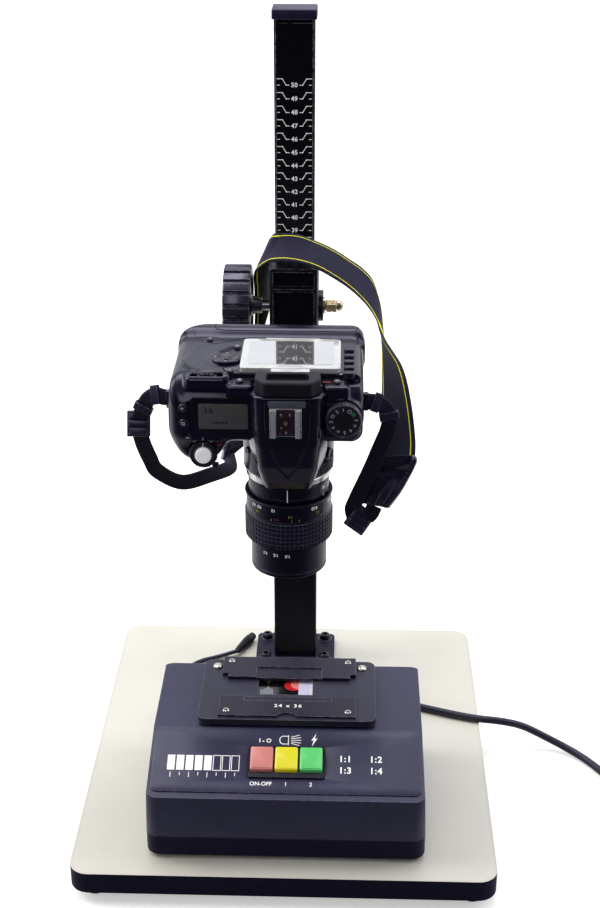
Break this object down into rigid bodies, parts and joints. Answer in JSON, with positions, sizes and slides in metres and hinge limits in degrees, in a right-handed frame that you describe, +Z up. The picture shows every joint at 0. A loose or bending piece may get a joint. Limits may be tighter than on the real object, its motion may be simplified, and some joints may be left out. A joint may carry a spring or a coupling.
{
  "type": "slide duplicator",
  "caption": "Copy stand with a cranked carriage that holds a reflex camera over a light unit with a film stage, three buttons and leads.",
  "frame": {"origin": "middle of the board's footprint, on the surface that its feet stand on", "axes": "+X to the user's right, +Y from the user towards the column, +Z up the column"},
  "size_m": [0.5195, 0.33, 0.58],
  "materials": {
    "board_laminate": "satin laminate",
    "edge_plastic": "smooth dark edging",
    "foot_rubber": "matt",
    "black_metal": "satin black powder coat",
    "black_steel": "blackened fasteners",
    "scale_film": "printed scale with white centimetre marks",
    "cap_plastic": "fine texture",
    "housing_metal": "fine black wrinkle paint",
    "knob_plastic": "moulded",
    "shaft_steel": "turned",
    "roller_rubber": "matt",
    "stud_brass": "turned",
    "camera_body": "fine grain",
    "camera_panel": "fine grain",
    "screen_plastic": "clear glossy cover",
    "shoe_steel": "pressed",
    "soft_rubber": "soft",
    "dial_plastic": "knurled rim",
    "key_plastic": "moulded",
    "lens_metal": "satin black",
    "ring_metal": "satin black, engraved numbers",
    "ring_rubber": "moulded grid",
    "lens_glass": "coated",
    "unit_plastic": "fine texture",
    "panel_plastic": "smooth dark panel with white print",
    "switch_plastic": "moulded",
    "cap_red": "translucent",
    "cap_yellow": "translucent",
    "cap_green": "translucent",
    "well_white": "white",
    "opal_plastic": "opal",
    "lamp_glass": "clear",
    "winding_steel": "laminated core with taped winding",
    "board_green": "circuit board",
    "stage_metal": "satin black",
    "bright_steel": "domed heads",
    "film_base": "processed film",
    "lead_plastic": "cable sheath",
    "plug_plastic": "moulded with metal pins",
    "strap_fabric": "woven with two yellow stripes and leather ends",
    "webbing_fabric": "narrow webbing with plastic sliders"
  },
  "bodies": {
    "stand": {"baseboard": "board_laminate", "edge_band": "edge_plastic", "rubber_feet": "foot_rubber", "column_base": "black_metal", "base_bolts": "black_steel", "column": "black_metal", "scale_strip": "scale_film", "column_cap": "cap_plastic", "upper_shell": "unit_plastic", "lower_shell": "unit_plastic", "control_panel": "panel_plastic", "switch_block": "switch_plastic", "light_well": "well_white", "diffuser": "opal_plastic", "flash_tube": "lamp_glass", "focus_lamp": "lamp_glass", "transformer": "winding_steel", "flash_circuit": "board_green", "stage_plate": "stage_metal", "front_rail": "stage_metal", "rear_rail": "stage_metal", "stage_screws": "bright_steel", "stage_pins": "bright_steel", "cord_gland": "lead_plastic", "mains_cord": "lead_plastic", "cord_coil": "lead_plastic", "mains_plug": "plug_plastic", "sync_cord": "lead_plastic", "sync_plug": "plug_plastic"},
    "carriage": {"carriage_housing": "housing_metal", "camera_arm": "black_metal", "camera_shell": "camera_body", "camera_back": "camera_panel", "screen_cover": "screen_plastic", "eyepiece": "soft_rubber", "prism_cover": "camera_body", "hot_shoe": "shoe_steel", "lens_barrel": "lens_metal", "strap_band": "strap_fabric", "strap_ends": "webbing_fabric"},
    "drive": {"drive_shaft": "shaft_steel", "friction_roller": "roller_rubber", "drive_knob": "knob_plastic"},
    "tension": {"tension_stud": "stud_brass"},
    "camera_screw": {"camera_screw": "knob_plastic"},
    "red_button": {"button_red": "cap_red"},
    "yellow_button": {"button_yellow": "cap_yellow"},
    "green_button": {"button_green": "cap_green"},
    "clamp": {"film_clamp": "stage_metal"},
    "film": {"film_strip": "film_base"},
    "release": {"shutter_button": "key_plastic"},
    "power_switch": {"power_ring": "dial_plastic"},
    "mode_dial": {"mode_dial": "dial_plastic"},
    "command_wheel": {"command_wheel": "soft_rubber"},
    "selector": {"multi_selector": "soft_rubber"},
    "rear_keys": {"rear_keys": "key_plastic"},
    "aperture": {"aperture_ring": "ring_metal"},
    "focus": {"focus_ring": "ring_rubber"},
    "front_group": {"front_barrel": "lens_metal", "front_glass": "lens_glass"}
  },
  "joints": [
    {"name": "carriage_slide", "type": "slide", "parent": "stand", "child": "carriage", "axis": [0, 0, 1], "range_m": [-0.09, 0.15]},
    {"name": "knob_spin", "type": "hinge", "parent": "carriage", "child": "drive", "pos_m": [0, 0.1045, 0.3584], "axis": [1, 0, 0], "range_deg": [-1080, 650]},
    {"name": "tension_turn", "type": "hinge", "parent": "carriage", "child": "tension", "pos_m": [0, 0.1045, 0.3584], "axis": [1, 0, 0], "range_deg": [-90, 180]},
    {"name": "camera_screw_turn", "type": "hinge", "parent": "carriage", "child": "camera_screw", "pos_m": [0.0012, 0.012, 0.3545], "axis": [0, 1, 0], "range_deg": [0, 360]},
    {"name": "red_press", "type": "slide", "parent": "stand", "child": "red_button", "axis": [0, 0.3981, -0.9173], "range_m": [0, 0.0025], "stiffness_N_per_m": 600, "springref_m": -0.0003},
    {"name": "yellow_press", "type": "slide", "parent": "stand", "child": "yellow_button", "axis": [0, 0.3981, -0.9173], "range_m": [0, 0.0025], "stiffness_N_per_m": 600, "springref_m": -0.0003},
    {"name": "green_press", "type": "slide", "parent": "stand", "child": "green_button", "axis": [0, 0.3981, -0.9173], "range_m": [0, 0.0025], "stiffness_N_per_m": 600, "springref_m": -0.0003},
    {"name": "clamp_slide", "type": "slide", "parent": "stand", "child": "clamp", "axis": [0, 1, 0], "range_m": [0, 0.004]},
    {"name": "film_slide", "type": "slide", "parent": "stand", "child": "film", "axis": [1, 0, 0], "range_m": [-0.038, 0.038]},
    {"name": "release_press", "type": "slide", "parent": "carriage", "child": "release", "axis": [0, 1, 0], "range_m": [0, 0.0012], "stiffness_N_per_m": 800},
    {"name": "power_turn", "type": "hinge", "parent": "carriage", "child": "power_switch", "pos_m": [-0.0548, -0.086, 0.321], "axis": [0, -1, 0], "range_deg": [0, 35]},
    {"name": "mode_dial_turn", "type": "hinge", "parent": "carriage", "child": "mode_dial", "pos_m": [0.0392, -0.09, 0.35], "axis": [0, -1, 0], "continuous": true},
    {"name": "command_wheel_turn", "type": "hinge", "parent": "carriage", "child": "command_wheel", "pos_m": [-0.0518, -0.078, 0.3676], "axis": [0, 1, 0], "continuous": true},
    {"name": "selector_press", "type": "slide", "parent": "carriage", "child": "selector", "axis": [0, 0, -1], "range_m": [0, 0.0008], "stiffness_N_per_m": 1200, "springref_m": -0.0002},
    {"name": "rear_keys_press", "type": "slide", "parent": "carriage", "child": "rear_keys", "axis": [0, 0, -1], "range_m": [0, 0.0008], "stiffness_N_per_m": 1200, "springref_m": -0.0002},
    {"name": "aperture_turn", "type": "hinge", "parent": "carriage", "child": "aperture", "pos_m": [0.0012, -0.048, 0.284], "axis": [0, 0, 1], "range_deg": [0, 60]},
    {"name": "focus_turn", "type": "hinge", "parent": "carriage", "child": "focus", "pos_m": [0.0012, -0.048, 0.26], "axis": [0, 0, 1], "range_deg": [0, 240]},
    {"name": "front_travel", "type": "slide", "parent": "carriage", "child": "front_group", "axis": [0, 0, 1], "range_m": [0, 0.0201]}
  ],
  "couplings": [
    {"joint": "knob_spin", "follows": "carriage_slide", "rad_per_m": -125},
    {"joint": "front_travel", "follows": "focus_turn", "m_per_rad": 0.004775}
  ]
}
